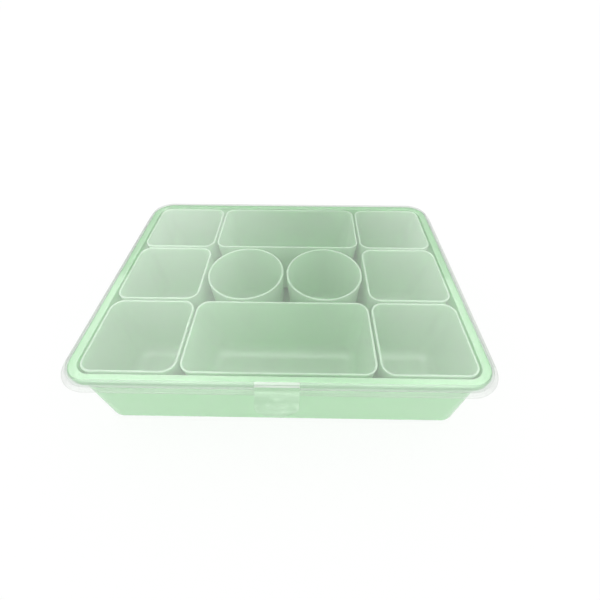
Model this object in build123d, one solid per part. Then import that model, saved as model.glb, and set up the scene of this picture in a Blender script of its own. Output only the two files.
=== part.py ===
from build123d import *
import math
import os

# Divided food container: a deep tray holds ten loose cups under a clear lid that pushes over its rim.
# Millimetres, +Z up, +X to the right, +Y to the back.
# The origin is the centre of the tray's flat underside.

# Cups: wall, plan sizes and corners, measured over the outside at the rim
cup_wall = 1.5
cup_height = 59.8
corner_cup_width = 62.6
outer_row_depth = 61.0
round_cup_diameter = 61.5
cup_gap = 1.8
round_cup_gap = 2.5
cup_corner_radius = 9.0
cup_foot_corner_radius = 15.0
cup_draft_angle = 2.5
cup_foot_radius = 12.0
cup_rim_bevel = 0.4

# Tray: one moulded shell with a flat flange and a turned-down lip
tray_clearance = 1.5
tray_wall = 2.3
tray_floor = 2.2
tray_draft_angle = 0.4
tray_bottom_radius = 4.0
cavity_bottom_radius = 2.8
flange_width = 6.0
flange_thickness = 1.8
lip_thickness = 1.5
lip_depth = 4.0
flange_rounding = 1.0

# Lid: one clear moulding with a flat panel, a round shoulder, a short skirt and a brim
lid_thickness = 1.3
lid_seat_gap = 0.3
lid_side_clearance = 0.5
lid_shoulder_radius = 3.0
lid_skirt_depth = 4.3
brim_width = 3.0
brim_rounding = 0.5

# Pull tab at the front of the lid, with curved grip ribs
tab_width = 27.6
tab_length = 13.0
tab_end_bow = 4.0
tab_corner_radius = 4.0
tab_droop_angle = 40.0
tab_root = 1.5
tab_land_proud = 0.7
rib_count = 3
rib_height = 0.5
rib_width = 1.1
rib_pitch = 2.4
rib_half_angle = 22.0

# Plan of the cups: the round pair sets the middle columns, the long cups follow them
side_cup_inner_x = (2 * round_cup_diameter + 3 * round_cup_gap) / 2
long_cup_width = 2 * (side_cup_inner_x - cup_gap)
side_column_x = side_cup_inner_x + corner_cup_width / 2
round_cup_x = (round_cup_gap + round_cup_diameter) / 2
outer_row_y = round_cup_diameter / 2 + cup_gap + outer_row_depth / 2

# Levels and half sizes of the tray and the lid
rim_z = tray_floor + cup_height
cavity_half_x = side_column_x + corner_cup_width / 2 + tray_clearance
cavity_half_y = outer_row_y + outer_row_depth / 2 + tray_clearance
cavity_corner = cup_corner_radius + tray_clearance
skirt_inner = flange_width + lid_side_clearance
skirt_outer = skirt_inner + lid_thickness
brim_outer = skirt_outer + brim_width
panel_underside_z = rim_z + lid_seat_gap
panel_top_z = panel_underside_z + lid_thickness
brim_bottom_z = rim_z - lid_skirt_depth
brim_top_z = brim_bottom_z + lid_thickness


def rounded(half_x, half_y, corner, z):
    """Rounded rectangle about the Z axis at height z."""
    return Plane.XY.offset(z) * RectangleRounded(2 * half_x, 2 * half_y, corner)


def ring_plan(offset, z):
    """Outline of the tray's cavity at its rim, moved outwards by an offset."""
    return rounded(cavity_half_x + offset, cavity_half_y + offset, cavity_corner + offset, z)


def prism(offset, z_low, z_high):
    """Straight-sided block with the outline of the cavity's rim plus an offset."""
    return extrude(ring_plan(offset, z_low), z_high - z_low)


def soft_foot_block(sections, foot_radius):
    """Ruled block through flat sections from the foot up, with a rounded lower edge."""
    block = loft(sections, ruled=True)
    return fillet(block.faces().sort_by(Axis.Z)[0].edges(), foot_radius)


def edges_at(shape, z):
    """Edges that lie flat at height z, to a hundredth of a millimetre."""
    slack = 0.01
    return shape.edges().filter_by_position(Axis.Z, z - slack, z + slack)


def cup_block(width, depth, wall, mouth_step):
    """Block that fills a box cup down to a wall's thickness: draft, soft foot and bevelled mouth."""
    bevel_z = cup_height - cup_rim_bevel
    inset = (bevel_z - wall) * math.tan(math.radians(cup_draft_angle))
    half_x, half_y = width / 2 - wall, depth / 2 - wall
    corner = cup_corner_radius - wall
    foot = rounded(half_x - inset, half_y - inset, cup_foot_corner_radius - wall, wall)
    wall_top = rounded(half_x, half_y, corner, bevel_z)
    rim = rounded(half_x + mouth_step, half_y + mouth_step, corner + mouth_step, cup_height)
    return soft_foot_block([foot, wall_top, rim], cup_foot_radius - wall)


def box_cup(width, depth):
    """Four-sided cup that stands on z = 0. Its corners widen towards the foot."""
    return cup_block(width, depth, 0, -cup_rim_bevel) - cup_block(width, depth, cup_wall, cup_rim_bevel)


def turned_block(wall, mouth_step):
    """Block that fills the round cup down to a wall's thickness, turned from one profile."""
    bevel_z = cup_height - cup_rim_bevel
    inset = (bevel_z - wall) * math.tan(math.radians(cup_draft_angle))
    radius = round_cup_diameter / 2 - wall
    profile = Polyline((0, wall), (radius - inset, wall), (radius, bevel_z),
                       (radius + mouth_step, cup_height), (0, cup_height), (0, wall))
    block = revolve(Plane.XZ * make_face(profile), Axis.Z)
    return fillet(block.faces().sort_by(Axis.Z)[0].edges(), cup_foot_radius - wall)


def round_cup():
    """Round cup that stands on z = 0."""
    return turned_block(0, -cup_rim_bevel) - turned_block(cup_wall, cup_rim_bevel)


def tray_block(offset, z_low, foot_radius):
    """Block up to the rim with the cavity's outline plus an offset, and the tray's draft."""
    inset = (rim_z - z_low) * math.tan(math.radians(tray_draft_angle))
    half_x, half_y = cavity_half_x + offset, cavity_half_y + offset
    corner = cavity_corner + offset
    foot = rounded(half_x - inset, half_y - inset, corner, z_low)
    return soft_foot_block([foot, rounded(half_x, half_y, corner, rim_z)], foot_radius)


def tray():
    """Tray body, its flange and the lip under the flange's edge."""
    body = tray_block(tray_wall, 0, tray_bottom_radius)
    flange = prism(flange_width, rim_z - lip_depth, rim_z)
    flange = fillet(edges_at(flange, rim_z), flange_rounding)
    flange -= prism(flange_width - lip_thickness, rim_z - lip_depth, rim_z - flange_thickness)
    cavity = tray_block(0, tray_floor, cavity_bottom_radius)
    return body + flange - cavity


def tab_plane(rise):
    """Plane of the pull tab: local X is across, local Y runs outwards and down, raised by rise."""
    droop = math.radians(tab_droop_angle)
    root_y = -(cavity_half_y + brim_outer) + tab_root
    middle_z = brim_top_z - lid_thickness / 2
    downward_normal = (0, math.sin(droop), -math.cos(droop))
    plane = Plane(origin=(0, root_y, middle_z), x_dir=(1, 0, 0), z_dir=downward_normal)
    return plane.offset(-rise)


def pull_tab():
    """Flat tab with a bowed end, and curved ribs for the thumb."""
    reach = tab_root + tab_length
    half = tab_width / 2
    shoulder = reach - tab_end_bow
    outline = Polyline((-half, shoulder), (-half, 0), (half, 0), (half, shoulder))
    outline += ThreePointArc((half, shoulder), (0, reach), (-half, shoulder))
    plan = make_face(outline)
    plan = fillet(plan.vertices().group_by(Axis.Y)[-1], tab_corner_radius)
    plate = extrude(tab_plane(0) * plan, lid_thickness / 2, both=True)
    bow_radius = (half ** 2 + tab_end_bow ** 2) / (2 * tab_end_bow)
    for k in range(1, rib_count + 1):
        arc = CenterArc((0, reach - bow_radius), bow_radius - k * rib_pitch, 90 - rib_half_angle,
                        2 * rib_half_angle)
        plate += extrude(tab_plane(lid_thickness / 2 + rib_height) * SlotArc(arc, rib_width),
                         rib_height + lid_thickness / 2)
    return plate


def lid():
    """Clear lid: panel and skirt as one rounded shell, a brim round its foot and the pull tab."""
    shell = prism(skirt_outer, brim_bottom_z, panel_top_z)
    shell = fillet(edges_at(shell, panel_top_z), lid_shoulder_radius)
    brim = prism(brim_outer, brim_bottom_z, brim_top_z)
    brim = fillet(edges_at(brim, brim_top_z), brim_rounding)
    land_half_y = cavity_half_y + skirt_outer + tab_land_proud
    land = Pos(0, -land_half_y / 2, (brim_bottom_z + rim_z) / 2) * Box(
        tab_width, land_half_y, rim_z - brim_bottom_z)
    hollow = prism(skirt_inner, brim_bottom_z, panel_underside_z)
    hollow = fillet(edges_at(hollow, panel_underside_z), lid_shoulder_radius - lid_thickness)
    return shell + brim + land + pull_tab() - hollow


def place_cups():
    """All ten cups by name, standing on the tray's floor."""
    corner = box_cup(corner_cup_width, outer_row_depth)
    long = box_cup(long_cup_width, outer_row_depth)
    side = box_cup(corner_cup_width, round_cup_diameter)
    middle = round_cup()
    cups = {}
    for row, y in (("front", -outer_row_y), ("back", outer_row_y)):
        cups[f"cup_{row}_left"] = Pos(-side_column_x, y, tray_floor) * corner
        cups[f"cup_{row}_centre"] = Pos(0, y, tray_floor) * long
        cups[f"cup_{row}_right"] = Pos(side_column_x, y, tray_floor) * corner
    for name, side_sign in (("left", -1), ("right", 1)):
        cups[f"cup_middle_{name}"] = Pos(side_sign * side_column_x, 0, tray_floor) * side
        cups[f"cup_round_{name}"] = Pos(side_sign * round_cup_x, 0, tray_floor) * middle
    return cups


pieces = {"tray": tray(), "lid": lid()}
pieces.update(place_cups())
os.makedirs("parts", exist_ok=True)
for name, piece in pieces.items():
    solid = piece.solid() if len(piece.solids()) == 1 else piece
    solid.label = name
    export_step(solid, f"parts/{name}.step")
    box = solid.bounding_box()
    print(f"{name}: {len(piece.solids())} solid, {piece.volume / 1000:.1f} cm3, "
          f"{box.size.X:.1f} x {box.size.Y:.1f} x {box.size.Z:.1f} mm")
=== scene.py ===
# %% [markdown]
# # A divided food container in clear and pale green plastic
# The real thing is a deep tray that holds ten loose cups under one clear lid. Tray and cups are moulded in the
# same pale green polypropylene, which is smooth and waxy, and the lid is a thin clear moulding pushed over the rim.
# The construction is already there as a fixed frame, in metres, with +Z up and the pull tab towards -Y.
# Here each piece gets a fine, evenly divided surface, so that glossy corners reflect without facets. All sizes are
# written out in code, so that a wall or a radius can be changed in one place.

# %% Load the frame and keep its box
import math

import bpy
import numpy as np
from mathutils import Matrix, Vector


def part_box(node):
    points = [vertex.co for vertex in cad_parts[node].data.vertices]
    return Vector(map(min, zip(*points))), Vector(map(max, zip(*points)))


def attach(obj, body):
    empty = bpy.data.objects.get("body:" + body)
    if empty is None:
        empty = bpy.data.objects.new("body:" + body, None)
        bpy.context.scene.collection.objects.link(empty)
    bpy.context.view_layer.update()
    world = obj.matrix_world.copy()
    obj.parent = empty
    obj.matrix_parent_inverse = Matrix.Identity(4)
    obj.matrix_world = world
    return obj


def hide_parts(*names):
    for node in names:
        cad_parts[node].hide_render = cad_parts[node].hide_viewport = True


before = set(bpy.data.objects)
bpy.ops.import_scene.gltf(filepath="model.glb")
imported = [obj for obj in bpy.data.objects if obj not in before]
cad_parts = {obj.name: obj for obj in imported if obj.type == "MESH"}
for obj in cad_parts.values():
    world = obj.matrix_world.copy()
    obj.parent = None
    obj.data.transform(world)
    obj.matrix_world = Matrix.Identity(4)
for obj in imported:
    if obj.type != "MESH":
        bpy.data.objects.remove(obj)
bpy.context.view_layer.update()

print("nodes", sorted(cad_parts))

# %% [markdown]
# ## Sizes
# Every wall and radius below is a real size of the mouldings, in metres. Where a piece lies, and how wide it is,
# comes from the frame: the tray's flange gives the rim, and each cup's own box gives its place.

# %% Name the sizes that the pieces share
mm = 0.001

cup_wall = 1.5 * mm
cup_corner = 9.0 * mm
cup_foot_corner = 15.0 * mm
cup_foot_radius = 12.0 * mm
cup_lip_radius = 0.5 * mm
cup_draft = math.tan(math.radians(2.5))

tray_wall = 2.3 * mm
tray_floor = 2.2 * mm
tray_foot_radius = 4.0 * mm
tray_draft = math.tan(math.radians(0.4))
flange_width = 6.0 * mm
flange_thickness = 1.8 * mm
flange_rounding = 1.0 * mm
lip_thickness = 1.5 * mm
lip_depth = 4.0 * mm
cavity_corner = 10.5 * mm
edge_softness = 0.3 * mm

tray_low, tray_high = (np.array(c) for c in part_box("tray"))
rim_z = tray_high[2]
cavity_half = tray_high[:2] - flange_width
print("cavity half sizes in mm", (cavity_half / mm).round(2), "rim height", round(rim_z / mm, 2))

# %% [markdown]
# ## Two shapes make every moulding
# Injection-moulded boxes are all built alike: a rounded rectangle seen from above, and a wall section that stays
# the same all the way round. One way is to bevel a box, but then each wall and radius has to be tuned by hand.
# Carrying the section round the outline as one grid keeps every radius exact, and the wall has its thickness.

# %% Outline of a rounded rectangle
arc_steps = 14
side_steps = 10


def rounded_outline(half_x, half_y, corner):
    """Closed outlines, shape (row, point, xy), anticlockwise from the right side's upper end.

    Each corner is a quarter circle: centre + corner * (cos t, sin t), with t over 90 degrees.
    Each side is a straight run, divided evenly, to the start of the next quarter circle.
    The three sizes are arrays with one value per row.
    """
    half_x, half_y, corner = (np.atleast_1d(v)[:, None] for v in (half_x, half_y, corner))
    arcs = []
    for quarter, (sx, sy) in enumerate(((1, 1), (-1, 1), (-1, -1), (1, -1))):
        t = (quarter + np.linspace(0, 1, arc_steps + 1)) * math.pi / 2
        x = sx * (half_x - corner) + corner * np.cos(t)
        y = sy * (half_y - corner) + corner * np.sin(t)
        arcs.append(np.stack((x, y), -1))
    share = np.linspace(0, 1, side_steps + 1)[1:-1, None]
    outline = []
    for arc, following in zip(arcs, arcs[1:] + arcs[:1]):
        outline += [arc, arc[:, -1:] * (1 - share) + following[:, :1] * share]
    return np.concatenate(outline, 1)


def circle_outline(radius, steps=96):
    """Closed circles, shape (row, point, xy): radius * (cos t, sin t), one radius per row."""
    t = np.arange(steps) * 2 * math.pi / steps
    return np.atleast_1d(radius)[:, None, None] * np.stack((np.cos(t), np.sin(t)), -1)


print("points per outline", rounded_outline(0.1, 0.1, 0.01).shape[1])

# %% Wall section with rounded corners
bend_steps = 8


def rounded_section(corners):
    """Section line through (offset, height, radius) corners, as an array of (offset, height) points.

    An arc of radius r in a corner with the opening angle a has its centre on the bisector, r / sin(a / 2) from the
    corner, and touches both sides at r / tan(a / 2) from it. A radius of 0 leaves the corner sharp.
    """
    corners = np.array(corners, float)
    parts = [corners[:1, :2]]
    for before, here, after in zip(corners, corners[1:], corners[2:]):
        u, v = (other[:2] - here[:2] for other in (before, after))
        u, v, radius = u / np.linalg.norm(u), v / np.linalg.norm(v), here[2]
        half_angle = math.acos(np.clip(u @ v, -1, 1)) / 2
        centre = here[:2] + (u + v) / np.linalg.norm(u + v) * radius / math.sin(half_angle)
        start = here[:2] + u * radius / math.tan(half_angle) - centre
        end = here[:2] + v * radius / math.tan(half_angle) - centre
        turn = math.atan2(start[0] * end[1] - start[1] * end[0], start @ end)
        t = np.linspace(0, turn, bend_steps + 1 if radius > 0 else 1)[:, None]
        parts.append(centre + np.cos(t) * start + np.sin(t) * np.array((-start[1], start[0])))
    parts.append(corners[-1:, :2])
    return np.concatenate(parts)


print("points in one quarter bend", len(rounded_section([(0, 0, 0), (1, 0, 0.5), (1, 1, 0)])) - 2)

# %% Closed solid from rings


def add_piece(name, points, faces):
    """Object at the origin with a smooth mesh from an array of points and a list of faces."""
    mesh = bpy.data.meshes.new(name)
    mesh.from_pydata(points.tolist(), [], faces)
    mesh.validate()
    mesh.shade_smooth()
    piece = bpy.data.objects.new(name, mesh)
    bpy.context.scene.collection.objects.link(piece)
    print(f"{name}: {len(mesh.vertices)} points, {len(mesh.polygons)} faces")
    return piece


def moulding(name, outline, z):
    """Solid from outlines (ring, point, xy) at heights z. Each ring joins the next, and both ends close flat.

    Point k of ring r is number r * columns + k, so a face takes the numbers of two neighbours on two rings.
    """
    rows, columns = outline.shape[:2]
    points = np.dstack((outline, np.broadcast_to(np.asarray(z)[:, None], (rows, columns))))
    r, k = np.meshgrid(np.arange(rows - 1) * columns, np.arange(columns), indexing="ij")
    after = (k + 1) % columns
    sides = np.stack((r + k, r + after, r + columns + after, r + columns + k), -1).reshape(-1, 4)
    first, last = list(range(columns))[::-1], list(range((rows - 1) * columns, rows * columns))
    return add_piece(name, points.reshape(-1, 3), sides.tolist() + [first, last])


# %% [markdown]
# ## The tray
# One deep shell with a flat flange round its rim and a short lip turned down under the flange's edge, which stiffens
# it and is what the lid grips. It could be a box with a Solidify modifier, but the lip and the different radii
# inside and out need their own section, so the whole wall is drawn once and carried round.

# %% Tray
cap_inset = 0.4 * mm


def tray_section():
    """Section of the tray as offsets outwards from the cavity's rim, from the underside up and over to the floor."""
    body_foot = tray_wall - rim_z * tray_draft
    cavity_foot = -(rim_z - tray_floor) * tray_draft
    inner_radius = tray_foot_radius - tray_wall / 2
    lip_inner = flange_width - lip_thickness
    flange_z, lip_z = rim_z - flange_thickness, rim_z - lip_depth
    return rounded_section([
        (body_foot - tray_foot_radius - cap_inset, 0, 0),
        (body_foot, 0, tray_foot_radius),
        (tray_wall - flange_thickness * tray_draft, flange_z, edge_softness),
        (lip_inner, flange_z, edge_softness),
        (lip_inner, lip_z, edge_softness),
        (flange_width, lip_z, edge_softness),
        (flange_width, rim_z, flange_rounding),
        (0, rim_z, edge_softness),
        (cavity_foot, tray_floor, inner_radius),
        (cavity_foot - inner_radius - cap_inset, tray_floor, 0),
    ])


offset, z = tray_section().T
tray_shell = moulding("tray_shell", rounded_outline(cavity_half[0] + offset, cavity_half[1] + offset,
                                                    cavity_corner + offset), z)
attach(tray_shell, "tray")
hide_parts("tray")

# %% [markdown]
# ## The ten cups
# All cups share one wall section: a 1.5 mm wall that leans out by 2.5 degrees so that it leaves the mould, a rim
# with softened edges and a wide, soft foot that is easy to wipe clean. The plan corners are tight at the rim and
# wider at the foot, so the corner radius is worked out afresh for each ring. Two of the cups are round.

# %% Cups
cup_names = sorted(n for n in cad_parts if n.startswith("cup_"))


def cup_section(height):
    """Section of a cup as insets from its outline at the rim, from the underside up and over to the inner floor."""
    foot, inner_foot = height * cup_draft, cup_wall + (height - cup_wall) * cup_draft
    inner_radius = cup_foot_radius - cup_wall
    return rounded_section([
        (foot + cup_foot_radius + cap_inset, 0, 0),
        (foot, 0, cup_foot_radius),
        (0, height, cup_lip_radius),
        (cup_wall, height, cup_lip_radius),
        (inner_foot, cup_wall, inner_radius),
        (inner_foot + inner_radius + cap_inset, cup_wall, 0),
    ])


def cup(node):
    """Cup in the place of a CAD node. Its corner radius grows evenly towards the foot, less what a ring is inset."""
    low, high = (np.array(c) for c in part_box(node))
    half, middle = (high - low)[:2] / 2, (high + low)[:2] / 2
    height = high[2] - low[2]
    inset, z = cup_section(height).T
    if "round" in node:
        outline = circle_outline(half[0] - inset)
    else:
        lean = (height - z) * cup_draft
        corner = cup_corner + (cup_foot_corner - cup_corner) * (1 - z / height) - (inset - lean)
        outline = rounded_outline(half[0] - inset, half[1] - inset, corner)
    return moulding(node + "_shell", outline + middle, z + low[2])


cups = []
for node in cup_names:
    piece = cup(node)
    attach(piece, node)
    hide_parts(node)
    cups.append(piece)

# %% [markdown]
# ## Pale green polypropylene
# The plastic is coloured right through, smooth on the tray and a little duller on the cups. A flat colour would look
# like paint, so the colour drifts a little over some centimetres, as flow in the mould leaves it, and a fine bump
# breaks up the reflections. Light also goes some millimetres into this waxy plastic, which subsurface scattering
# shows as soft edges. All of it reads Object coordinates in metres.

# %% Node helpers
noise_middle = (0.3, 0.7)


def new_material(name):
    """Material with an empty node tree and its output node."""
    material = bpy.data.materials.new(name)
    material.use_nodes = True
    tree = material.node_tree
    tree.nodes.clear()
    return material, tree, tree.nodes.new("ShaderNodeOutputMaterial")


def add_node(tree, kind, inputs=None, **settings):
    """Node of a kind. Inputs are sockets to link or values to set, by name or number."""
    node = tree.nodes.new(kind)
    for key, value in settings.items():
        setattr(node, key, value)
    for key, value in (inputs or {}).items():
        if isinstance(value, bpy.types.NodeSocket):
            tree.links.new(value, node.inputs[key])
        else:
            node.inputs[key].default_value = value
    return node


def noise_at(tree, coordinates, size, detail=2.0):
    """Noise socket, from 0 to 1, whose patches are about size metres across."""
    return add_node(tree, "ShaderNodeTexNoise", {"Vector": coordinates, "Scale": 1 / size, "Detail": detail}).outputs[0]


def ranged(tree, value, low, high):
    """Socket that stretches the middle of a noise to the range from low to high."""
    return add_node(tree, "ShaderNodeMapRange", {"Value": value, "From Min": noise_middle[0],
                                                 "From Max": noise_middle[1], "To Min": low, "To Max": high}).outputs[0]


# %% Green plastic
tray_colour = (0.515, 0.915, 0.525)
cup_colour = (0.590, 0.880, 0.600)
tone_range = (0.975, 1.02)
drift_size, gloss_patch_size, grain_size = 45 * mm, 12 * mm, 0.5 * mm
duller, glossier = 0.04, 0.03
plastic_ior = 1.49
glow_depth = 6 * mm


def green_plastic(name, colour, grain_height, roughness):
    """Waxy polypropylene: drifting colour, uneven gloss and a fine grain."""
    material, tree, output = new_material(name)
    place = add_node(tree, "ShaderNodeTexCoord").outputs["Object"]
    drift = noise_at(tree, place, drift_size)
    tones = [tuple(c * tone for c in colour) + (1,) for tone in tone_range]
    mixed = add_node(tree, "ShaderNodeMix", {"Factor": drift, "A": tones[0], "B": tones[1]}, data_type="RGBA")
    patches = noise_at(tree, place, gloss_patch_size, detail=3)
    gloss = ranged(tree, patches, roughness - glossier, roughness + duller)
    grain = noise_at(tree, place, grain_size, detail=3)
    bump = add_node(tree, "ShaderNodeBump", {"Height": grain, "Distance": grain_height, "Strength": 1.0})
    shader = add_node(tree, "ShaderNodeBsdfPrincipled", {
        "Base Color": mixed.outputs["Result"], "Roughness": gloss, "IOR": plastic_ior, "Normal": bump.outputs[0],
        "Subsurface Weight": 0.7, "Subsurface Radius": (0.8, 1.0, 0.8), "Subsurface Scale": glow_depth})
    tree.links.new(shader.outputs[0], output.inputs["Surface"])
    return material


tray_material = green_plastic("tray_polypropylene", tray_colour, grain_height=0.001 * mm, roughness=0.22)
cup_material = green_plastic("cup_polypropylene", cup_colour, grain_height=0.0015 * mm, roughness=0.34)
tray_shell.data.materials.append(tray_material)
for piece in cups:
    piece.data.materials.append(cup_material)
print("materials", [m.name for m in bpy.data.materials])

# %% [markdown]
# ## The clear lid
# The lid is one clear moulding: a flat panel, a round shoulder, a short skirt that grips the tray's lip and a brim
# round its foot. At the front a pull tab droops from the brim, with ribs for the thumb. Its section is carried round
# as before, and a Boolean joins the tab's plate, its land and three curved bars to it, so that no wall is left
# inside the plastic, where a see-through material would show it.

# %% Lid shell
lid_wall = 1.3 * mm
seat_gap = 0.3 * mm
side_clearance = 0.5 * mm
shoulder_radius = 3.0 * mm
skirt_depth = 4.3 * mm
brim_width = 3.0 * mm
brim_softness = 0.5 * mm

skirt_inner = flange_width + side_clearance
skirt_outer = skirt_inner + lid_wall
panel_under_z = rim_z + seat_gap
brim_under_z = rim_z - skirt_depth


def lid_section():
    """Section of the lid as offsets outwards from the cavity's rim, from under the panel round the brim to its top."""
    brim_outer = skirt_outer + brim_width
    brim_z, panel_z = brim_under_z + lid_wall, panel_under_z + lid_wall
    return rounded_section([
        (skirt_outer - shoulder_radius - cap_inset, panel_under_z, 0),
        (skirt_inner, panel_under_z, shoulder_radius - lid_wall),
        (skirt_inner, brim_under_z, edge_softness),
        (brim_outer, brim_under_z, edge_softness),
        (brim_outer, brim_z, brim_softness),
        (skirt_outer, brim_z, edge_softness),
        (skirt_outer, panel_z, shoulder_radius),
        (skirt_outer - shoulder_radius - cap_inset, panel_z, 0),
    ])


offset, z = lid_section().T
outline = rounded_outline(cavity_half[0] + offset, cavity_half[1] + offset, cavity_corner + offset)
tab_width = 27.6 * mm
# Two points slide along the straight front side, so that faces end where the tab does
arcs_before_front, sides_before_front = 3, 2
front_middle = arcs_before_front * (arc_steps + 1) + sides_before_front * (side_steps - 1) + side_steps // 2 - 1
for beside in (-1, 1):
    outline[:, front_middle + beside, 0] = beside * tab_width / 2
lid_shell = moulding("lid_shell", outline, z)

# %% Pull tab plate
tab_length = 13.0 * mm
tab_bow = 4.0 * mm
tab_corner = 4.0 * mm
tab_droop = math.radians(40)
tab_root = 1.5 * mm
tab_corner_steps, tab_end_steps, tab_edge_steps = 8, 16, 3

tab_reach = tab_root + tab_length
bow_radius = ((tab_width / 2) ** 2 + tab_bow ** 2) / (2 * tab_bow)
bow_centre_y = tab_reach - bow_radius
corner_x = tab_width / 2 - tab_corner
corner_y = bow_centre_y + math.sqrt((bow_radius - tab_corner) ** 2 - corner_x ** 2)


def tab_outline(inset):
    """Outlines of the tab, shape (ring, point, xy), each an inset smaller than the first, with y outwards.

    From the root a side runs to a corner arc, which meets the bowed end arc where the line through both arcs'
    centres leaves them. The left half mirrors the right one.
    """
    inset = np.atleast_1d(inset)[:, None]
    meet = math.atan2(corner_y - bow_centre_y, corner_x)
    t = np.linspace(0, meet, tab_corner_steps + 1)
    corner = np.stack((corner_x + (tab_corner - inset) * np.cos(t), corner_y + (tab_corner - inset) * np.sin(t)), -1)
    t = np.linspace(meet, math.pi / 2, tab_end_steps + 1)[1:]
    end = np.stack(((bow_radius - inset) * np.cos(t), bow_centre_y + (bow_radius - inset) * np.sin(t)), -1)
    root = np.stack((corner[:, 0, 0], np.zeros(len(inset))), -1)[:, None]
    right = np.concatenate((root, corner, end), 1)
    left = right[:, -2::-1] * (-1, 1)
    return np.concatenate((right, left), 1)


def tilted(points):
    """Tab coordinates (across, outwards, up) turned down by the droop and set at the brim's front edge."""
    across, out, up = points.T
    y = -(cavity_half[1] + skirt_outer + brim_width) + tab_root - out * math.cos(tab_droop) - up * math.sin(tab_droop)
    z = brim_under_z + lid_wall / 2 - out * math.sin(tab_droop) + up * math.cos(tab_droop)
    return np.stack((across, y, z), -1)


def move_points(piece, function):
    """Pass every point of a piece's mesh through a function of an (n, 3) array."""
    points = np.empty(3 * len(piece.data.vertices))
    piece.data.vertices.foreach_get("co", points)
    piece.data.vertices.foreach_set("co", function(points.reshape(-1, 3)).ravel())
    piece.data.update()


bend = np.linspace(0, math.pi / 2, tab_edge_steps + 1)
plate_inset = edge_softness * np.concatenate((1 - np.sin(bend), 1 - np.cos(bend)))
plate_up = lid_wall / 2 - edge_softness + edge_softness * np.sin(bend)
plate = moulding("tab_plate", tab_outline(plate_inset), np.concatenate((-plate_up[::-1], plate_up)))
move_points(plate, tilted)

# %% Ribs and land
rib_count = 3
rib_height = 0.3 * mm
rib_width = 1.1 * mm
rib_pitch = 2.4 * mm
rib_half_angle = math.radians(22)
rib_steps, rib_sides = 32, 16
land_proud = 0.7 * mm
land_below_panel = 0.15 * mm


def tab_rib(number):
    """Bar with a half-round top along an arc about the bow's centre. It tapers to its ends.

    With s from -1 to 1 along the arc, the half width is w sqrt(1 - s^8), so the bar keeps its width and ends round.
    """
    s = np.linspace(-1, 1, rib_steps + 1)[1:-1, None]
    around = np.linspace(0, 2 * math.pi, rib_sides + 1)[None, :-1]
    half_width = rib_width / 2 * np.sqrt(1 - s ** 8)
    radius = bow_radius - number * rib_pitch + half_width * np.cos(around)
    angle = math.pi / 2 + s * rib_half_angle
    up = lid_wall / 2 + rib_height * np.sqrt(1 - s ** 8) * np.sin(around)
    points = np.stack((radius * np.cos(angle), bow_centre_y + radius * np.sin(angle), up), -1)
    rows, columns = points.shape[:2]
    r, k = np.meshgrid(np.arange(rows - 1) * columns, np.arange(columns), indexing="ij")
    after = (k + 1) % columns
    sides = np.stack((r + k, r + columns + k, r + columns + after, r + after), -1).reshape(-1, 4)
    ends = [list(range(columns)), list(range((rows - 1) * columns, rows * columns))[::-1]]
    return add_piece(f"tab_rib_{number}", tilted(points.reshape(-1, 3)), sides.tolist() + ends)


land_top = panel_under_z + lid_wall - land_below_panel
land_z = np.array((brim_under_z + edge_softness, land_top - edge_softness, land_top))
land_half = np.array((tab_width, skirt_outer + land_proud - skirt_inner - edge_softness)) / 2
land_inset = np.array((0, 0, edge_softness))
land_middle = (0, -(cavity_half[1] + skirt_outer + land_proud - land_half[1]))
land = moulding("tab_land", rounded_outline(land_half[0] - land_inset, land_half[1] - land_inset / 2,
                                            2 * edge_softness - land_inset) + land_middle, land_z)
tab_parts = [plate, land] + [tab_rib(k + 1) for k in range(rib_count)]

# %% Join them to one clear solid


def joined(piece, parts):
    """Union of a piece and its parts, kept as the piece's own mesh. The parts are removed."""
    for part in parts:
        union = piece.modifiers.new(part.name, "BOOLEAN")
        union.operation, union.solver, union.object = "UNION", "EXACT", part
    depsgraph = bpy.context.evaluated_depsgraph_get()
    mesh = bpy.data.meshes.new_from_object(piece.evaluated_get(depsgraph))
    piece.modifiers.clear()
    piece.data = mesh
    for part in parts:
        bpy.data.objects.remove(part)
    print(f"{piece.name}: {len(mesh.vertices)} points, {len(mesh.polygons)} faces in one solid")


joined(lid_shell, tab_parts)
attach(lid_shell, "lid")
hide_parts("lid")

# %% [markdown]
# ## Clear plastic, with painted shade and a painted highlight
# A sheet this thin hardly moves what lies behind it, so light may pass straight on, which keeps the picture free of
# noise. Two things make it visible: each face mirrors a few percent of the studio, which a Fresnel node works out,
# and use leaves a faint white haze of fine scuffs. The shoulder and the skirt are seen through at a slant, and their
# greyer tint and denser grey haze are painted shade and painted reflection for how a curved clear edge looks there.
# The straight parts of the brim's two short sides get a greyer tint too, as painted shade, and the top of the tab's
# land gets a dense white haze, as a painted highlight.

# %% Clear plastics
gloss_range = (0.02, 0.05)
gloss_cloud_size, haze_cloud_size = 30 * mm, 60 * mm
haze_drift = 0.01


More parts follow.
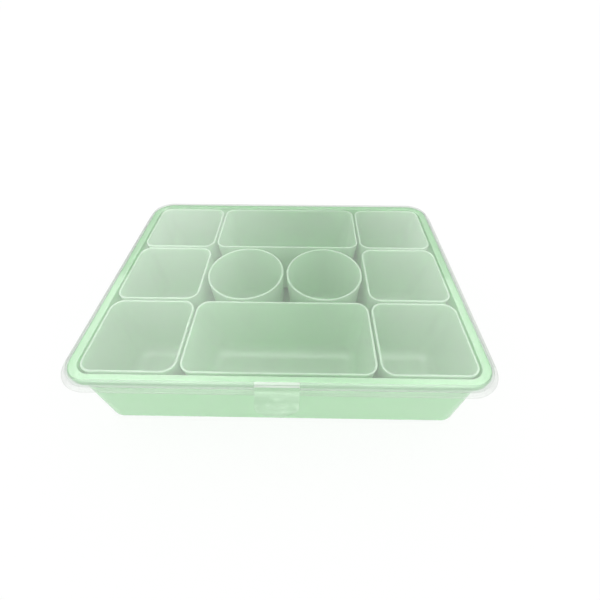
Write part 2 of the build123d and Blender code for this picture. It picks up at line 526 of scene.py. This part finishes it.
def clear_sheet(name, haze, tint, milk):
    """See-through wall with a white haze on the face that light meets first, and mirror gloss by Fresnel.

    Light that goes through takes the tint, and the haze scatters the colour of its milk. On a face seen from
    inside the plastic the index is turned over, to 1 / index.
    """
    material, tree, output = new_material(name)
    place = add_node(tree, "ShaderNodeTexCoord").outputs["Object"]
    gloss = ranged(tree, noise_at(tree, place, gloss_cloud_size), *gloss_range)
    behind = add_node(tree, "ShaderNodeNewGeometry").outputs["Backfacing"]
    index = add_node(tree, "ShaderNodeMix", {"Factor": behind, "A": plastic_ior, "B": 1 / plastic_ior},
                     data_type="FLOAT")
    share = add_node(tree, "ShaderNodeFresnel", {"IOR": index.outputs["Result"]}).outputs[0]
    through = add_node(tree, "ShaderNodeBsdfTransparent", {"Color": (*tint, 1)})
    scuffs = add_node(tree, "ShaderNodeBsdfDiffuse", {"Color": (*milk, 1)})
    cloud = ranged(tree, noise_at(tree, place, haze_cloud_size), haze - haze_drift, haze + haze_drift)
    front = add_node(tree, "ShaderNodeMapRange", {"Value": behind, "To Min": cloud, "To Max": 0.0})
    hazy = add_node(tree, "ShaderNodeMixShader", {0: front.outputs[0], 1: through.outputs[0], 2: scuffs.outputs[0]})
    mirror = add_node(tree, "ShaderNodeBsdfAnisotropic", {"Color": (1, 1, 1, 1), "Roughness": gloss})
    mixed = add_node(tree, "ShaderNodeMixShader", {0: share, 1: hazy.outputs[0], 2: mirror.outputs[0]})
    tree.links.new(mixed.outputs[0], output.inputs["Surface"])
    return material


# Name, share of haze, tint of what shows through and milk of the haze
lid_grades = [
    clear_sheet("lid_panel_plastic", 0.18, (0.985, 0.990, 0.985), (0.86, 0.86, 0.86)),
    # Painted shade and painted reflection: a greyer tint and a denser grey haze on the shoulder and the skirt
    clear_sheet("lid_skirt_painted_shade", 0.35, (0.880, 0.920, 0.885), (0.74, 0.78, 0.75)),
    clear_sheet("lid_brim_plastic", 0.05, (0.920, 0.930, 0.920), (0.86, 0.88, 0.86)),
    # Painted highlight: a dense white haze on the top of the tab's land
    clear_sheet("lid_land_painted_highlight", 0.60, (0.950, 0.955, 0.950), (0.90, 0.90, 0.90)),
    clear_sheet("lid_tab_plastic", 0.04, (0.935, 0.955, 0.935), (0.88, 0.90, 0.88)),
    # Painted shade: a greyer tint and grey haze on the straight parts of the brim's two short sides
    clear_sheet("lid_side_painted_shade", 0.12, (0.855, 0.870, 0.858), (0.72, 0.74, 0.72)),
]
panel_grade, skirt_shade_grade, brim_grade, land_highlight_grade, tab_grade, side_shade_grade = range(len(lid_grades))
print("clear grades", [material.name for material in lid_grades])

# %% Which face gets which grade


def outline_distance(points):
    """Distance of (n, 3) points outside the cavity's rim: |max(|p| - (half - corner), 0)| - corner, seen from above."""
    beyond = np.abs(points[:, :2]) - (cavity_half - cavity_corner)
    return np.linalg.norm(np.maximum(beyond, 0), axis=1) - cavity_corner


faces = len(lid_shell.data.polygons)
normals, centres = np.empty(3 * faces), np.empty(3 * faces)
lid_shell.data.polygons.foreach_get("normal", normals)
lid_shell.data.polygons.foreach_get("center", centres)
centres = centres.reshape(-1, 3)
distance, slack = outline_distance(centres), 0.05 * mm
level_cosine, upward_cosine = 0.999, 0.5
on_panel = (np.abs(normals[2::3]) > level_cosine) & (centres[:, 2] > rim_z)
on_skirt = distance < skirt_outer + slack
on_tab = (np.abs(centres[:, 0]) < tab_width / 2 + slack) & (centres[:, 1] < 0)
# The land's upward faces over the shoulder get the painted highlight
on_land = on_tab & (normals[2::3] > upward_cosine) & (centres[:, 2] > land_top - edge_softness)
on_land &= distance > skirt_outer - shoulder_radius
# Faces on the straight left and right sides of the brim get the painted shade
on_side = np.abs(centres[:, 1]) < cavity_half[1] - cavity_corner
on_side &= np.abs(centres[:, 0]) > cavity_half[0]
grade = np.select([on_land, on_panel, on_skirt, on_tab, on_side],
                  [land_highlight_grade, panel_grade, skirt_shade_grade, tab_grade, side_shade_grade], brim_grade)
lid_shell.data.materials.clear()
for material in lid_grades:
    lid_shell.data.materials.append(material)
lid_shell.data.polygons.foreach_set("material_index", grade.astype(np.int32))
print("faces of panel, skirt, brim, land, tab and sides", np.bincount(grade, minlength=len(lid_grades)).tolist())

# %% [markdown]
# ## Studio
# The container stands on a plain white table in even light from all sides, so the colours come out as they are
# written. Three wide softboxes show only as gloss on the green plastic: the far edge of the top one is a clean line
# in the glossy rims. To the camera the table is white, but it still takes a soft shadow.

# %% Floor
floor_size = 6.0
floor_share = 0.80
# The camera sees white_share * white_level + (1 - white_share) * floor_share, which is 1.008 and so just white
white_share = 0.8
white_level = 1.06


def plane(name, corners):
    """One four-sided face through its corners."""
    piece = add_piece(name, np.array(corners, float), [[0, 1, 2, 3]])
    return piece


floor = plane("floor", [(-floor_size, -floor_size, 0), (floor_size, -floor_size, 0),
                        (floor_size, floor_size, 0), (-floor_size, floor_size, 0)])
material, tree, output = new_material("white_table")
path = add_node(tree, "ShaderNodeLightPath").outputs
seen = add_node(tree, "ShaderNodeMath", {0: path["Is Camera Ray"], 1: path["Is Glossy Ray"]}, operation="MAXIMUM")
seen = add_node(tree, "ShaderNodeMath", {0: seen.outputs[0], 1: path["Is Transmission Ray"]}, operation="MAXIMUM")
share = add_node(tree, "ShaderNodeMath", {0: seen.outputs[0], 1: white_share}, operation="MULTIPLY")
glow = add_node(tree, "ShaderNodeEmission", {"Color": (1, 1, 1, 1), "Strength": white_level})
matt = add_node(tree, "ShaderNodeBsdfDiffuse", {"Color": (floor_share, floor_share, floor_share, 1)})
both = add_node(tree, "ShaderNodeMixShader", {0: share.outputs[0], 1: matt.outputs[0], 2: glow.outputs[0]})
tree.links.new(both.outputs[0], output.inputs["Surface"])
floor.data.materials.append(material)

# %% [markdown]
# ## What the gloss mirrors
# A clear sheet shows itself only by what it mirrors, and a white world all round would hide the lid's form. So the
# world is plain white for soft light and for the camera, but mirrors see a studio: fields on a ceiling, and a lighter
# wall behind the camera. A direction meets a ceiling one unit up at (x / z, y / z), so straight edges there stay
# straight in the flat lid. Real lamps behind real flags would do the same, with more noise.

# %% Fields of the studio
middle_x, fields_middle = 0.03, -0.087
glow_edge = (0.0, 0.42)
panel_edge, panel_far_edge = (0.705, 0.72), (1.605, 1.622)
strip_outer_edge, strip_far_edge = (0.77, 0.80), (1.04, 1.08)
top_edge = (0.87, 0.92)
back_edge, back_low_edge = (0.0, -0.2), (0.22, 0.45)
far_wall_edge = (1.605, 1.625)
base_level, panel_level, strip_level, top_level, back_level, far_wall_level = 0.45, 1.6, 0.9, 1.4, 1.3, -0.35
rises, falls = (0.0, 1.0), (1.0, 0.0)
print("far edges on the ceiling: panels", panel_far_edge, "strips", strip_far_edge)

# %% World


def ramp(value, edge, levels):
    """Soft step: the first level before the edge's start, the second past its end and a smooth S between them."""
    return add_node(tree, "ShaderNodeMapRange", {
        "Value": value, "From Min": edge[0], "From Max": edge[1], "To Min": levels[0], "To Max": levels[1],
    }, interpolation_type="SMOOTHSTEP").outputs[0]


def combined(operation, first, *others):
    """Sum or product of sockets and numbers, taken from left to right."""
    for other in others:
        first = add_node(tree, "ShaderNodeMath", {0: first, 1: other}, operation=operation).outputs[0]
    return first


def distance_from(value, middle):
    """Socket of |value - middle|."""
    return combined("ABSOLUTE", combined("ADD", value, -middle), 0.0)


world = bpy.data.worlds.new("studio")
bpy.context.scene.world = world
world.use_nodes = True
tree = world.node_tree
tree.nodes.clear()
output = tree.nodes.new("ShaderNodeOutputWorld")
path = add_node(tree, "ShaderNodeLightPath").outputs
direction = add_node(tree, "ShaderNodeSeparateXYZ", {0: add_node(tree, "ShaderNodeTexCoord").outputs["Generated"]})
x, y, z = (direction.outputs[axis] for axis in "XYZ")
ceiling_x, ceiling_y = combined("DIVIDE", x, z), combined("DIVIDE", y, z)
aside, out = distance_from(x, middle_x), distance_from(ceiling_x, fields_middle)
panels = combined("MULTIPLY", ramp(aside, glow_edge, (0.0, panel_level)), ramp(out, panel_edge, falls),
                  ramp(ceiling_y, panel_far_edge, falls))
strips = combined("MULTIPLY", ramp(out, panel_edge, (0.0, strip_level)), ramp(out, strip_outer_edge, falls),
                  ramp(ceiling_y, strip_far_edge, falls))
overhead = ramp(z, top_edge, (0.0, top_level))
behind_camera = combined("MULTIPLY", ramp(y, back_edge, (0.0, back_level)), ramp(z, back_low_edge, rises))
far_wall = ramp(ceiling_y, far_wall_edge, (0.0, far_wall_level))
mirrored = combined("ADD", base_level, panels, strips, overhead, behind_camera, far_wall)
level = add_node(tree, "ShaderNodeMix", {"Factor": path["Is Glossy Ray"], "A": 1.0, "B": mirrored},
                 data_type="FLOAT")
level = add_node(tree, "ShaderNodeMix", {"Factor": path["Is Camera Ray"], "A": level.outputs["Result"], "B": 1.0},
                 data_type="FLOAT")
sky = add_node(tree, "ShaderNodeBackground", {"Color": (1, 1, 1, 1), "Strength": level.outputs["Result"]})
tree.links.new(sky.outputs[0], output.inputs["Surface"])
print("nodes in the world", len(tree.nodes))

# %% Softboxes
softbox_radiance = 2.86
lit = bpy.data.collections.new("lit_by_softboxes")
for piece in [tray_shell, *cups]:
    lit.objects.link(piece)


def softbox(name, size, place, turn):
    """Rectangular lamp seen only as a gloss on the green plastic. Its power is radiance * pi * area."""
    lamp = bpy.data.lights.new(name, "AREA")
    lamp.shape = "RECTANGLE"
    lamp.size, lamp.size_y = size
    lamp.energy = softbox_radiance * math.pi * size[0] * size[1]
    holder = bpy.data.objects.new(name, lamp)
    holder.location, holder.rotation_euler = place, turn
    holder.visible_diffuse = False
    holder.light_linking.receiver_collection = lit
    bpy.context.scene.collection.objects.link(holder)
    print(name, "power", round(lamp.energy, 1), "W")


top_size, top_far_y, top_height, top_turn = (9.0, 1.7), 1.035, 1.0, math.radians(-1.8)
softbox("top_softbox", top_size, (0, top_far_y - top_size[1] / 2, rim_z + top_height), (0, 0, top_turn))
side_size, side_far_y, side_distance, side_height = (2.2, 3.0), 2.45, 3.0, 1.3
for name, side in (("left", -1), ("right", 1)):
    softbox(name + "_softbox", side_size, (side * side_distance, side_far_y - side_size[1] / 2, side_height),
            (0, side * math.pi / 2, 0))

# %% [markdown]
# ## Camera
# It looks down from the front, a little right of the middle, and close by, so the front looks much wider than the
# back. Its place and lens come from the straight rims of the cups, which have to line up with the picture's.

# %% Camera
image_width = 600
focal_share = 319.9 / image_width
camera_place = Vector((0.01551, -0.19383, rim_z + 0.17808))
camera_pitch = math.radians(47.495)
camera_azimuth = math.radians(-0.944)

camera_data = bpy.data.cameras.new("camera")
camera_data.sensor_width = 36.0
camera_data.lens = focal_share * camera_data.sensor_width
camera_data.clip_start = 0.01
camera = bpy.data.objects.new("camera", camera_data)
camera.location = camera_place
camera.rotation_euler = (math.pi / 2 - camera_pitch, 0, -camera_azimuth)
bpy.context.scene.collection.objects.link(camera)
bpy.context.scene.camera = camera
bpy.context.scene.view_settings.view_transform = "Standard"
print("lens in mm", round(camera_data.lens, 2), "place", [round(c, 4) for c in camera_place])
